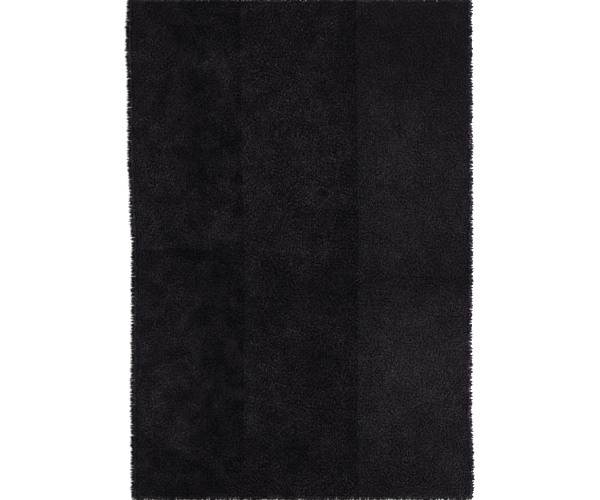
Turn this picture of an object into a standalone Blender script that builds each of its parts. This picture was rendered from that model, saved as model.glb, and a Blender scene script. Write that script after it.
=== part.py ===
"""Short pile rug lying on the floor, pile side up. Metres, +Z up.

The rug is cut from one pile cloth and its hem is part of that cloth, so it is one solid: a flat
underside, a pile surface as uneven as it lies, low ridges where the rug was folded for storage, and
locks of pile that hang over the cloth's edge all round.
The shape is built as a straight rug, then each point is moved to where it lies on the floor.
"""

import math
import random

import bmesh
import bpy
from mathutils import Vector, geometry, noise

# Driving sizes, over the mean edge of the pile
WIDTH = 1.330
LENGTH = 1.955
CORNER_SIZE = 0.028
CORNER_SQUARENESS = 5
PILE_TOP = 0.0165

# Cross-section of the rim, inwards from the mean edge
CLOTH_INSET = 0.013
LIP_INSET = 0.007
LIP_Z = 0.0042
SIDE_INSET = 0.0085
SIDE_Z = 0.0120
SIDE_JITTER = 0.0008
SHOULDER_INSET = 0.024
SHOULDER_DROP = 0.0016

# Locks of pile at the rim
LOCKS = 256
LOCK_ROOT_SHARE = 0.74
LOCK_ROOT_RANGE = (0.78, 1.14)
LOCK_STRAY_SHARE = 0.06
LOCK_REACH = (0.0060, 0.0145)
LOCK_SWAY = 0.0040
LOCK_TIP_HALF = (0.0016, 0.0038)
LOCK_TIP_Z = 0.0045
LOCKS_ON_FLOOR = 0.6
LOCK_BEND_SHARE = 0.58
LOCK_BEND_WIDTH = 0.84
LOCK_BEND_DROOP = 0.0032

# Unevenness of the pile: size of the swells and how high they stand, and where in the noise they lie
SWELLS = ((0.34, 0.0007), (0.13, 0.0011), (0.060, 0.0014))
SWELL_LAYER = 3.7
TUFT_JITTER = 0.0007
RIM_WAVES = ((0.150, 0.0014), (0.052, 0.0013))
RIM_WAVE_LAYER = 7.3
RIM_WAVE_DEPTH = 0.080

# Spacing of the points on the pile and under the cloth, and how far they stray in shares of it
PILE_PITCH = 0.042
PILE_STRAY_SHARE = 0.2
RIDGE_STEPS = (0.018, 0.044)
FIELD_INSET = 0.048
UNDERSIDE_PITCH = 0.22
UNDERSIDE_STRAY_SHARE = 0.1
SAME_POINT = 1e-7
SHARP_ANGLE = math.radians(50)
SEED = 11

# Where the long edges lie outside (+) or inside (-) the straight rug, by height up the rug
EDGE_COLUMNS = ("along", "left_out", "right_out")
EDGES = (
    (-0.978, -0.006, 0.005),
    (-0.590, -0.006, -0.001),
    (-0.250, -0.008, -0.002),
    (0.000, -0.008, 0.001),
    (0.190, 0.000, 0.001),
    (0.350, 0.007, 0.001),
    (0.600, 0.008, 0.001),
    (0.800, 0.013, -0.002),
    (0.978, 0.011, -0.002),
)

# Ridges left by folding: their ends, their height, how far their flanks reach
FOLD_COLUMNS = ("x_start", "y_start", "x_end", "y_end", "height", "flank")
FOLDS = (
    (-0.227, -0.978, -0.227, 0.978, 0.0030, 0.070),
    (0.221, -0.978, 0.221, 0.978, 0.0030, 0.070),
    (-0.665, 0.001, -0.360, 0.001, 0.0022, 0.055),
    (-0.360, 0.001, -0.227, -0.104, 0.0022, 0.055),
    (-0.227, -0.002, 0.040, -0.018, 0.0022, 0.055),
    (0.221, -0.104, 0.665, -0.104, 0.0025, 0.060),
)
LONG_FOLDS_X = (-0.227, 0.221)
CROSS_FOLDS_Y = (-0.104, 0.001)


def clear_scene():
    for thing in list(bpy.data.objects):
        bpy.data.objects.remove(thing, do_unlink=True)


def smooth_step(t):
    t = min(max(t, 0.0), 1.0)
    return t * t * (3 - 2 * t)


def edge_offsets(along):
    """How far the left and the right edge lie outside the straight rug at this height."""
    rows = [dict(zip(EDGE_COLUMNS, row)) for row in EDGES]
    for low, high in zip(rows, rows[1:]):
        if along <= high["along"]:
            break
    share = smooth_step((along - low["along"]) / (high["along"] - low["along"]))
    left = low["left_out"] + share * (high["left_out"] - low["left_out"])
    right = low["right_out"] + share * (high["right_out"] - low["right_out"])
    return left, right


def where_it_lies(point):
    """Moves a point of the straight rug to its place on the floor."""
    left, right = edge_offsets(point.y)
    across = point.x / WIDTH + 0.5
    return Vector((point.x + across * right - (1 - across) * left, point.y, point.z))


def rim_length():
    straight = 2 * (WIDTH + LENGTH - 4 * CORNER_SIZE)
    return straight + 2 * math.pi * CORNER_SIZE


def corner_reach(angle):
    """How far a corner reaches from its middle this way: furthest at its tip, as it is nearly square."""
    across, along = abs(math.cos(angle)), abs(math.sin(angle))
    shortfall = across**CORNER_SQUARENESS + along**CORNER_SQUARENESS
    return CORNER_SIZE / shortfall ** (1 / CORNER_SQUARENESS)


def rim_frame(s):
    """The point of the mean edge at distance s round the rug, and the direction straight outwards."""
    half_w = WIDTH / 2 - CORNER_SIZE
    half_l = LENGTH / 2 - CORNER_SIZE
    arc = math.pi / 2 * CORNER_SIZE
    corners = (
        (half_w, -half_l, -math.pi / 2),
        (half_w, half_l, 0.0),
        (-half_w, half_l, math.pi / 2),
        (-half_w, -half_l, math.pi),
    )
    runs = (2 * half_l, 2 * half_w, 2 * half_l, 2 * half_w)
    s = s % rim_length()
    for (x, y, angle), run in zip(corners, runs):
        centre = Vector((x, y, 0))
        if s <= arc:
            angle += s / CORNER_SIZE
            out = Vector((math.cos(angle), math.sin(angle), 0))
            return centre + corner_reach(angle) * out, out
        s -= arc
        angle += math.pi / 2
        out = Vector((math.cos(angle), math.sin(angle), 0))
        if s <= run:
            ahead = Vector((-out.y, out.x, 0))
            return centre + CORNER_SIZE * out + s * ahead, out
        s -= run
    raise ValueError("the distance is past the end of the rim")


def wave(s, size, offset):
    """A smooth random value for a place on the rim, the same where the rim closes."""
    angle = 2 * math.pi * s / rim_length()
    radius = rim_length() / (2 * math.pi * size)
    return noise.noise(Vector((radius * math.cos(angle), radius * math.sin(angle), offset)))


def rim_swell(s):
    """How far the pile bulges past its mean edge here."""
    return sum(2 * depth * wave(s, size, RIM_WAVE_LAYER + size) for size, depth in RIM_WAVES)


def rim_point(s, inset, z):
    """A point this far inside the mean edge. The bulges of the edge fade out inwards."""
    edge, out = rim_frame(s)
    bulge = rim_swell(s) * max(0.0, 1 - inset / RIM_WAVE_DEPTH)
    point = edge + (bulge - inset) * out
    point.z = z
    return point


def distance_to_fold(x, y, fold):
    start = Vector((fold["x_start"], fold["y_start"]))
    line = Vector((fold["x_end"], fold["y_end"])) - start
    here = Vector((x, y)) - start
    share = min(max(here.dot(line) / line.length_squared, 0.0), 1.0)
    return (here - share * line).length


def fold_height(x, y):
    """The highest of the fold ridges here: a sharp crest whose flanks flatten out."""
    highest = 0.0
    for row in FOLDS:
        fold = dict(zip(FOLD_COLUMNS, row))
        fall = 1 - distance_to_fold(x, y, fold) / fold["flank"]
        highest = max(highest, fold["height"] * max(fall, 0.0) ** 2)
    return highest


def pile_height(x, y, draw):
    """The pile's top here: its mean height, soft swells, the fold ridges and the unevenness of tufts."""
    height = PILE_TOP + fold_height(x, y) + draw.uniform(-TUFT_JITTER, TUFT_JITTER)
    for number, (size, depth) in enumerate(SWELLS):
        height += 2 * depth * noise.noise(Vector((x / size, y / size, SWELL_LAYER * number)))
    return height


def lock_bounds(draw):
    """Where each lock's root starts and ends round the rim."""
    pitch = rim_length() / LOCKS
    bounds = []
    for number in range(LOCKS):
        middle = (number + 0.5 + draw.uniform(-LOCK_STRAY_SHARE, LOCK_STRAY_SHARE)) * pitch
        half = 0.5 * LOCK_ROOT_SHARE * pitch * draw.uniform(*LOCK_ROOT_RANGE)
        bounds += [middle - half, middle + half]
    return bounds


def ring(bm, bounds, inset, z_at):
    """A row of points round the rim, one for each bound of a lock."""
    return [bm.verts.new(rim_point(s, inset, z_at(s))) for s in bounds]


def strip(bm, lower, upper, skip_locks=False):
    """The quads between two rows, or only those between the locks."""
    count = len(lower)
    for i in range(1 if skip_locks else 0, count, 2 if skip_locks else 1):
        after = (i + 1) % count
        bm.faces.new((lower[i], lower[after], upper[after], upper[i]))


def add_lock(bm, roots, middle_s, draw):
    """One lock: a four-sided root that bends over the cloth's edge and tapers to a short edge."""
    _, out = rim_frame(middle_s)
    ahead = Vector((-out.y, out.x, 0))
    root = sum((vert.co for vert in roots), Vector()) / 4
    tip = root + draw.uniform(*LOCK_REACH) * out + draw.uniform(-LOCK_SWAY, LOCK_SWAY) * ahead
    tip.z = 0.0 if draw.random() < LOCKS_ON_FLOOR else draw.uniform(0.0, LOCK_TIP_Z)
    half = draw.uniform(*LOCK_TIP_HALF)
    ends = [bm.verts.new(tip - half * ahead), bm.verts.new(tip + half * ahead)]

    step = LOCK_BEND_SHARE * (tip - root)
    step.z = 0.0
    bend = []
    for vert in roots:
        aside = (vert.co - root).dot(ahead)
        place = vert.co + step - (1 - LOCK_BEND_WIDTH) * aside * ahead
        place.z -= LOCK_BEND_DROOP
        bend.append(bm.verts.new(place))
    for i in range(4):
        after = (i + 1) % 4
        bm.faces.new((roots[i], roots[after], bend[after], bend[i]))
    low_a, low_b, high_b, high_a = bend
    bm.faces.new((low_a, low_b, ends[1], ends[0]))
    bm.faces.new((ends[0], ends[1], high_b, high_a))
    bm.faces.new((low_a, ends[0], high_a))
    bm.faces.new((low_b, high_b, ends[1]))


def graded(low, high, pitch, crests):
    """Values from low to high about a pitch apart, with closer ones on and beside each crest."""
    fixed = sorted(c + side * step for c in crests for step in (0, *RIDGE_STEPS) for side in (-1, 1))
    fixed = sorted({round(value, 4) for value in fixed if low < value < high})
    values = [low]
    for stop in [*fixed, high]:
        steps = max(round((stop - values[-1]) / pitch), 1)
        start = values[-1]
        values += [start + (stop - start) * k / steps for k in range(1, steps + 1)]
    return values


def pile_points(draw):
    """Points of the pile's top inside the rim: a loose grid that is exact on the fold crests."""
    reach_x = WIDTH / 2 - FIELD_INSET
    reach_y = LENGTH / 2 - FIELD_INSET
    points = []
    for y in graded(-reach_y, reach_y, PILE_PITCH, CROSS_FOLDS_Y):
        for x in graded(-reach_x, reach_x, PILE_PITCH, LONG_FOLDS_X):
            loose = 0.0 if fold_height(x, y) > 0 else PILE_STRAY_SHARE * PILE_PITCH
            px = x + draw.uniform(-loose, loose)
            py = y + draw.uniform(-loose, loose)
            points.append(Vector((px, py, pile_height(px, py, draw))))
    return points


def underside_points(draw):
    """A few points inside the flat underside, so that its triangles are well shaped."""
    across = round(WIDTH / UNDERSIDE_PITCH)
    along = round(LENGTH / UNDERSIDE_PITCH)
    loose = UNDERSIDE_STRAY_SHARE * UNDERSIDE_PITCH
    points = []
    for row in range(1, along):
        for column in range(1, across):
            x = WIDTH * (column / across - 0.5) + draw.uniform(-loose, loose)
            y = LENGTH * (row / along - 0.5) + draw.uniform(-loose, loose)
            points.append(Vector((x, y, 0.0)))
    return points


def fill(bm, rim, inner, facing_up):
    """Closes a rim with triangles that also pass through the inner points."""
    verts = rim + [bm.verts.new(point) for point in inner]
    flat = [vert.co.to_2d() for vert in verts]
    _, _, triangles, sources, _, _ = geometry.delaunay_2d_cdt(
        flat, [], [list(range(len(rim)))], 1, SAME_POINT
    )
    for triangle in triangles:
        corners = [verts[sources[i][0]] for i in triangle]
        bm.faces.new(corners if facing_up else corners[::-1])


def shade(mesh):
    """Smooth pile, with hard edges kept where the locks and the cloth's edge turn sharply."""
    mesh.shade_smooth()
    mesh.set_sharp_from_angle(angle=SHARP_ANGLE)


def pile_material():
    """Black polyester pile: a rough, slightly sheeny fibre with a faint violet cast."""
    material = bpy.data.materials.new("black_polyester_pile")
    material.use_nodes = True
    shader = material.node_tree.nodes["Principled BSDF"]
    shader.inputs["Base Color"].default_value = (0.0105, 0.0093, 0.0118, 1.0)
    shader.inputs["Roughness"].default_value = 0.92
    shader.inputs["Metallic"].default_value = 0.0
    shader.inputs["Specular IOR Level"].default_value = 0.25
    shader.inputs["Sheen Weight"].default_value = 0.15
    return material


def build_rug():
    draw = random.Random(SEED)
    bounds = lock_bounds(draw)
    bm = bmesh.new()
    hem = ring(bm, bounds, CLOTH_INSET, lambda s: 0.0)
    lip = ring(bm, bounds, LIP_INSET, lambda s: LIP_Z)
    side = ring(bm, bounds, SIDE_INSET, lambda s: SIDE_Z + draw.uniform(-SIDE_JITTER, SIDE_JITTER))
    shoulder = ring(bm, bounds, SHOULDER_INSET, lambda s: 0.0)
    for vert in shoulder:
        vert.co.z = pile_height(vert.co.x, vert.co.y, draw) - SHOULDER_DROP
    strip(bm, hem, lip)
    strip(bm, lip, side, skip_locks=True)
    strip(bm, side, shoulder)
    for i in range(0, len(bounds), 2):
        roots = (lip[i], lip[i + 1], side[i + 1], side[i])
        add_lock(bm, roots, (bounds[i] + bounds[i + 1]) / 2, draw)
    fill(bm, shoulder, pile_points(draw), facing_up=True)
    fill(bm, hem, underside_points(draw), facing_up=False)

    for vert in bm.verts:
        vert.co = where_it_lies(vert.co)
    centre_on_floor(bm)
    mesh = bpy.data.meshes.new("rug")
    bm.to_mesh(mesh)
    bm.free()
    shade(mesh)
    mesh.materials.append(pile_material())
    rug = bpy.data.objects.new("rug", mesh)
    bpy.context.scene.collection.objects.link(rug)
    return rug


def centre_on_floor(bm):
    """Puts the middle of the rug's outline over the origin."""
    xs = [vert.co.x for vert in bm.verts]
    ys = [vert.co.y for vert in bm.verts]
    middle = Vector(((min(xs) + max(xs)) / 2, (min(ys) + max(ys)) / 2, 0))
    bmesh.ops.translate(bm, vec=-middle, verts=bm.verts)


clear_scene()
build_rug()
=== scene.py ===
# %% [markdown]
# A short pile rug seen from straight above.
# The real rug is one length of black polyester pile cloth: a thin knitted ground cloth with yarn
# tufts standing about 15 mm high, hemmed all round. It lies flat, keeps low ridges where it was
# folded for storage, and its tufts are brushed this way and that, which is what the eye sees as
# lighter and darker patches. Here the ground cloth is a thin sheet, and every tuft of the pile
# that can be told apart is a small bent lock of its own. A height map or a bump would be
# lighter, but from the side only standing locks look like pile.

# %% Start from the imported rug
import math

import bpy
import numpy as np
from mathutils import Matrix, Vector, noise


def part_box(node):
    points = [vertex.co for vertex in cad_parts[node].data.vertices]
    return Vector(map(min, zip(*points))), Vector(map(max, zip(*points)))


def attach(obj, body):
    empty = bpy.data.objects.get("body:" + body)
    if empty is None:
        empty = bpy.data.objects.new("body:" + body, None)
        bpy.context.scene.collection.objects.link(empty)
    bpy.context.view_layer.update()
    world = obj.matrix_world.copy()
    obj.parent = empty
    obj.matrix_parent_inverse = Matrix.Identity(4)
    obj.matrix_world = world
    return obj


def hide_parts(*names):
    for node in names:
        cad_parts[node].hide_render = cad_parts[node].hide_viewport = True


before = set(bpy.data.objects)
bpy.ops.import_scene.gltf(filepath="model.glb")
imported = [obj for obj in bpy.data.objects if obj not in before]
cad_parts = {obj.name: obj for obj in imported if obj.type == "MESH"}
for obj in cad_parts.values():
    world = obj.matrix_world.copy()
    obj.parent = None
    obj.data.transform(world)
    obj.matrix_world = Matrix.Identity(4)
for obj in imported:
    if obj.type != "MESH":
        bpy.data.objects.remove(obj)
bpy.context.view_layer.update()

low, high = (np.array(corner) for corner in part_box("rug"))
print("the packed rug measures", np.round((high - low) * 1000, 1), "mm")

# %% [markdown]
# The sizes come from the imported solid. A straight rug is easier to think about than one whose long
# edges wander, so the wander and the tips of the locks are taken off its box. What is left is
# 1.33 by 1.955 m, over the mean edge of the pile. The table gives the wander of the real rug.

# %% The straight rug
LOCK_OVERHANG = 0.0069
EDGES = np.array(
    [  # along, left_out, right_out
        (-0.978, -0.006, 0.005),
        (-0.590, -0.006, -0.001),
        (-0.250, -0.008, -0.002),
        (0.000, -0.008, 0.001),
        (0.190, 0.000, 0.001),
        (0.350, 0.007, 0.001),
        (0.600, 0.008, 0.001),
        (0.800, 0.013, -0.002),
        (0.978, 0.011, -0.002),
    ]
)
LEFT_OUT, RIGHT_OUT = 1, 2
farthest_left, farthest_right = EDGES[:, LEFT_OUT].max(), EDGES[:, RIGHT_OUT].max()
WIDTH = float(high[0] - low[0] - farthest_left - farthest_right - 2 * LOCK_OVERHANG)
LENGTH = float(high[1] - low[1] - 2 * LOCK_OVERHANG)
print("the straight rug measures", round(WIDTH, 4), "by", round(LENGTH, 4), "m")

# %% [markdown]
# All shapes are worked out on the straight rug and then moved to where they lie. Working in arrays
# keeps this quick: one call moves a hundred thousand points.


# %% Where a point of the straight rug lies
def eased(t):
    """Shares from 0 to 1 that start and end softly."""
    return t * t * (3 - 2 * t)


def edge_offset(along, column):
    """How far one of the long edges lies outside the straight rug at these heights."""
    rows = np.clip(np.searchsorted(EDGES[:, 0], along) - 1, 0, len(EDGES) - 2)
    start, end = EDGES[rows, 0], EDGES[rows + 1, 0]
    share = eased(np.clip((along - start) / (end - start), 0, 1))
    return EDGES[rows, column] + share * (EDGES[rows + 1, column] - EDGES[rows, column])


def lie(points):
    """Moves points of the straight rug, one a row, to the floor."""
    across = points[:, 0] / WIDTH + 0.5
    left = edge_offset(points[:, 1], LEFT_OUT)
    right = edge_offset(points[:, 1], RIGHT_OUT)
    moved = points.copy()
    moved[:, 0] += across * right - (1 - across) * left
    return moved


print("the left edge wanders by", round(1000 * float(np.ptp(EDGES[:, LEFT_OUT]))), "mm")

# %% [markdown]
# A rug that was folded for storage keeps a low ridge along each fold. This one was folded in three
# across its width and in two along it, a little askew. Each row also gives the painted light and
# shade of the fold's two flanks: how much the yarn's colour is brightened to the left of the line
# from start to end, on the flank that faces the key lamp, and how much it is darkened to the right,
# in stops (one stop is twice as bright).

# %% The folds
FOLD_COLUMNS = ("x_start", "y_start", "x_end", "y_end", "height", "flank", "painted_flank_light", "painted_flank_shade")
LEFT_FOLD, RIGHT_FOLD = -0.227, 0.221
FOLDS = [
    dict(zip(FOLD_COLUMNS, row))
    for row in (
        (LEFT_FOLD, 0.978, LEFT_FOLD, -0.978, 0.0030, 0.070, 0.10, 0.10),
        (RIGHT_FOLD, 0.978, RIGHT_FOLD, -0.978, 0.0030, 0.070, 0.05, 0.05),
        (-0.665, 0.001, -0.360, 0.001, 0.0022, 0.055, 0.60, 0.38),
        (-0.360, 0.001, LEFT_FOLD, -0.104, 0.0022, 0.055, 0.60, 0.42),
        (LEFT_FOLD, -0.002, 0.040, -0.018, 0.0022, 0.055, 0.45, 0.30),
        (RIGHT_FOLD, -0.104, 0.665, -0.104, 0.0025, 0.060, 0.10, 0.33),
    )
]


def beside(fold, x, y):
    """How far each place is from a fold, and whether it is to the left of it (1) or right (-1)."""
    ax, ay = fold["x_start"], fold["y_start"]
    bx, by = fold["x_end"] - ax, fold["y_end"] - ay
    share = np.clip(((x - ax) * bx + (y - ay) * by) / (bx * bx + by * by), 0, 1)
    distance = np.hypot(x - ax - share * bx, y - ay - share * by)
    return distance, np.sign(bx * (y - ay) - by * (x - ax))


def fold_height(x, y):
    """The highest fold ridge at each place: a sharp crest whose flanks flatten out."""
    highest = np.zeros_like(x)
    for fold in FOLDS:
        fall = np.clip(1 - beside(fold, x, y)[0] / fold["flank"], 0, 1)
        highest = np.maximum(highest, fold["height"] * fall**2)
    return highest


print(len(FOLDS), "fold ridges, the highest", max(fold["height"] for fold in FOLDS) * 1000, "mm")

# %% [markdown]
# Unevenness needs smooth random fields. Soft noise, worked out for all tufts at once, gives the
# shades. Ripples all have about one wavelength but run in every direction. Their crests wind about
# like worms, just as pile does where its tufts lean together into ridges.

# %% Soft noise and ripples
LATTICE, LATTICE_START = 256, 64
RIPPLE_WAVES = 48
WAVELENGTH_SPREAD = 0.45
EVERY_WAY, MOSTLY_ACROSS = 0.45, 4


def soft_noise(x, y, size, seed):
    """Soft noise from -1 to 1, whose lumps are about this size across."""
    lattice = np.random.default_rng(seed).uniform(-1, 1, (LATTICE, LATTICE))
    u, v = x / size + LATTICE_START, y / size + LATTICE_START
    i, j = np.floor(u).astype(int), np.floor(v).astype(int)
    fu, fv = eased(u - i), eased(v - j)
    i, j = i % (LATTICE - 1), j % (LATTICE - 1)
    below = lattice[i, j] * (1 - fu) + lattice[i + 1, j] * fu
    above = lattice[i, j + 1] * (1 - fu) + lattice[i + 1, j + 1] * fu
    return below * (1 - fv) + above * fv


def ripples(x, y, wavelength, heading, seed):
    """Winding ripples from about -1 to 1 that mostly run across a heading, and which way is up."""
    draw = np.random.default_rng(seed)
    height, slope_x, slope_y = np.zeros_like(x), np.zeros_like(x), np.zeros_like(x)
    total = np.zeros_like(x)
    for _ in range(RIPPLE_WAVES):
        angle, phase = draw.uniform(0, 2 * math.pi, 2)
        k = 2 * math.pi / (wavelength * draw.uniform(1 - WAVELENGTH_SPREAD, 1 + WAVELENGTH_SPREAD))
        turn = k * (math.cos(angle) * x + math.sin(angle) * y) + phase
        share = EVERY_WAY + np.cos(angle - heading) ** MOSTLY_ACROSS
        height += share * np.cos(turn)
        slope_x -= share * math.cos(angle) * np.sin(turn)
        slope_y -= share * math.sin(angle) * np.sin(turn)
        total += share**2
    scale = 1 / np.sqrt(total)
    return height * scale, np.column_stack([slope_x * scale, slope_y * scale])


line = np.linspace(-0.6, 0.6, 500)
sample = soft_noise(line, line, size=0.05, seed=1)
print("soft noise runs from", round(float(sample.min()), 2), "to", round(float(sample.max()), 2))

# %% [markdown]
# The pile's top swells softly, by a few millimetres from the lowest place to the highest. The solid
# has the same swells, made with the noise function that comes with Blender, so the tufts use that
# function too and follow it.

# %% The swells of the pile
SWELLS = ((0.34, 0.0007), (0.13, 0.0011), (0.060, 0.0014))
SWELL_LAYER = 3.7
NOISE_GAIN = 2


def blender_noise(u, v, layer):
    """Blender's smooth noise, doubled, because it seldom goes further than a half from 0."""
    return NOISE_GAIN * np.array([noise.noise((a, b, layer)) for a, b in zip(u, v)])


def swell_height(x, y):
    """How high the pile's top swells at each place, from the size and height of each swell."""
    total = np.zeros_like(x)
    for number, (size, depth) in enumerate(SWELLS):
        total += depth * blender_noise(x / size, y / size, SWELL_LAYER * number)
    return total


sample = swell_height(line, np.zeros_like(line))
print("the pile swells by", round(1000 * float(np.ptp(sample)), 1), "mm across the middle")

# %% [markdown]
# The rim is a rectangle with tight corners. A table a millimetre apart gives, for each distance
# round the rug, a point of the mean edge and the direction outwards. A curve object could do it
# too, but a table is read by thousands of tufts at once.

# %% The mean edge
CORNER_SIZE = 0.028
CORNER_SQUARENESS = 5
RIM_STEP = 0.001


def rim_length():
    """The way round the rim, with its corners counted as quarter circles."""
    straight = 2 * (WIDTH + LENGTH - 4 * CORNER_SIZE)
    return straight + 2 * math.pi * CORNER_SIZE


def corner_reach(angle):
    """How far a corner reaches from its middle this way: furthest at its tip, as it is nearly square."""
    across, along = np.abs(np.cos(angle)), np.abs(np.sin(angle))
    shortfall = across**CORNER_SQUARENESS + along**CORNER_SQUARENESS
    return CORNER_SIZE / shortfall ** (1 / CORNER_SQUARENESS)


def rim_outline():
    """Distance round the rim, point and outward direction: a corner, a straight run, and so on."""
    half_w, half_l = WIDTH / 2 - CORNER_SIZE, LENGTH / 2 - CORNER_SIZE
    arc = math.pi / 2 * CORNER_SIZE
    corners = (
        (half_w, -half_l, -math.pi / 2, 2 * half_l),
        (half_w, half_l, 0.0, 2 * half_w),
        (-half_w, half_l, math.pi / 2, 2 * half_l),
        (-half_w, -half_l, math.pi, 2 * half_w),
    )
    parts, start = [], 0.0
    for x, y, angle, run in corners:
        s = np.arange(0, arc, RIM_STEP)
        turned = angle + s / CORNER_SIZE
        out_x, out_y, reach = np.cos(turned), np.sin(turned), corner_reach(turned)
        parts.append(np.column_stack([start + s, x + reach * out_x, y + reach * out_y, out_x, out_y]))
        s = np.arange(0, run, RIM_STEP)
        out_x, out_y = math.cos(angle + math.pi / 2), math.sin(angle + math.pi / 2)
        point_x, point_y = x + CORNER_SIZE * out_x - s * out_y, y + CORNER_SIZE * out_y + s * out_x
        out = np.broadcast_to((out_x, out_y), (len(s), 2))
        parts.append(np.column_stack([start + arc + s, point_x, point_y, out]))
        start += arc + run
    return np.concatenate(parts)


OUTLINE = rim_outline()
print("the rim is", round(rim_length(), 3), "m round, a table of", len(OUTLINE), "rows")

# %% [markdown]
# The edge of cut pile bulges a little here and there. Noise read along a line would jump where the
# way round the rug closes, so it is read on a circle.

# %% The bulges of the rim
RIM_WAVES = ((0.150, 0.0014), (0.052, 0.0013))
RIM_WAVE_LAYER = 7.3


def rim_bulges(distance):
    """How far the pile bulges past its mean edge, from the size and depth of each wave."""
    bulge = np.zeros(len(distance))
    turn = 2 * math.pi * distance / rim_length()
    for size, depth in RIM_WAVES:
        radius = rim_length() / (2 * math.pi * size)
        layer = RIM_WAVE_LAYER + size
        bulge += depth * blender_noise(radius * np.cos(turn), radius * np.sin(turn), layer)
    return bulge


RIM = np.column_stack([OUTLINE, rim_bulges(OUTLINE[:, 0])])


def rim_at(s):
    """Point on the mean edge, outward direction and bulge at these distances round the rim."""
    s = np.mod(s, rim_length())
    x, y, out_x, out_y, bulge = (np.interp(s, RIM[:, 0], column) for column in RIM.T[1:])
    out = np.column_stack([out_x, out_y])
    return np.column_stack([x, y]), out / np.linalg.norm(out, axis=1, keepdims=True), bulge


print("the rim bulges by up to", round(1000 * float(RIM[:, -1].max()), 1), "mm")

# %% [markdown]
# Tufts and layers also have to know how far inside the mean edge they are, so that they can stop
# short of it or lean over it. Along a straight run that is a plain difference; only the corners
# need their curve.


# %% How far inside the rim a place is
def inset_of(x, y):
    """How far inside the mean edge each place is."""
    across = np.abs(x) - (WIDTH / 2 - CORNER_SIZE)
    along = np.abs(y) - (LENGTH / 2 - CORNER_SIZE)
    angle = np.arctan2(np.maximum(along, 0), np.maximum(across, 0))
    in_corner = corner_reach(angle) - np.hypot(across, along)
    beside_edge = CORNER_SIZE - np.maximum(across, along)
    return np.where((across > 0) & (along > 0), in_corner, beside_edge)


def outwards_at(x, y):
    """The direction of the nearest edge, from how the inset falls on each side."""
    slope_x = inset_of(x + RIM_STEP, y) - inset_of(x - RIM_STEP, y)
    slope_y = inset_of(x, y + RIM_STEP) - inset_of(x, y - RIM_STEP)
    return -np.column_stack([slope_x, slope_y]) / (2 * RIM_STEP)


middle = np.zeros(1)
print("the middle is", round(float(inset_of(middle, middle)[0]), 3), "m inside the rim")

# %% [markdown]
# Pile is light or dark by the way it is brushed. Tufts that lean away from the lamp show it their
# flanks and look lighter; tufts that lean towards it show only their shaded backs. Two tables give
# the shade across the rug and along it, in stops. The tufts lean by these stops, and the yarn's
# colour is scaled by them as well: painted light and shade on top of the lean. The outer thirds
# were pressed flat when the rug was folded, so the table across it also says how patchy the pile
# is and how much grain its tufts have left. Painting the shade as an image would be another way,
# but a table stays short and easy to change.

# %% Shade across and along the rug
ACROSS = np.array(
    [  # x, stops, patchy, grain
        (-0.665, 0.04, 1.00, 0.60),
        (-0.560, 0.02, 1.10, 0.60),
        (-0.440, -0.19, 1.45, 0.60),
        (-0.400, -0.38, 1.50, 0.60),
        (-0.229, -0.44, 1.45, 0.60),
        (-0.225, -0.12, 0.95, 0.86),
        (0.000, -0.14, 0.95, 0.86),
        (0.120, -0.18, 0.95, 0.86),
        (0.219, -0.38, 0.95, 0.86),
        (0.223, 0.14, 0.60, 0.52),
        (0.330, 0.40, 0.60, 0.52),
        (0.480, 0.31, 0.60, 0.52),
        (0.665, 0.44, 0.60, 0.52),
    ]
)
STOPS, PATCHY, GRAIN = 1, 2, 3
SHADE_ALONG = np.array(
    [  # y, stops
        (-0.978, 0.06),
        (-0.955, -0.06),
        (-0.930, -0.22),
        (-0.860, -0.20),
        (-0.640, 0.06),
        (-0.420, 0.08),
        (-0.240, -0.06),
        (-0.100, -0.18),
        (0.080, 0.04),
        (0.300, 0.14),
        (0.540, 0.02),
        (0.720, -0.18),
        (0.978, -0.24),
    ]
)


def across_the_rug(x, column):
    """A column of the table across the rug, read at these places."""
    return np.interp(x, ACROSS[:, 0], ACROSS[:, column])


print("across the rug the shade changes by", round(float(np.ptp(ACROSS[:, STOPS])), 2), "stops")
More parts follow.
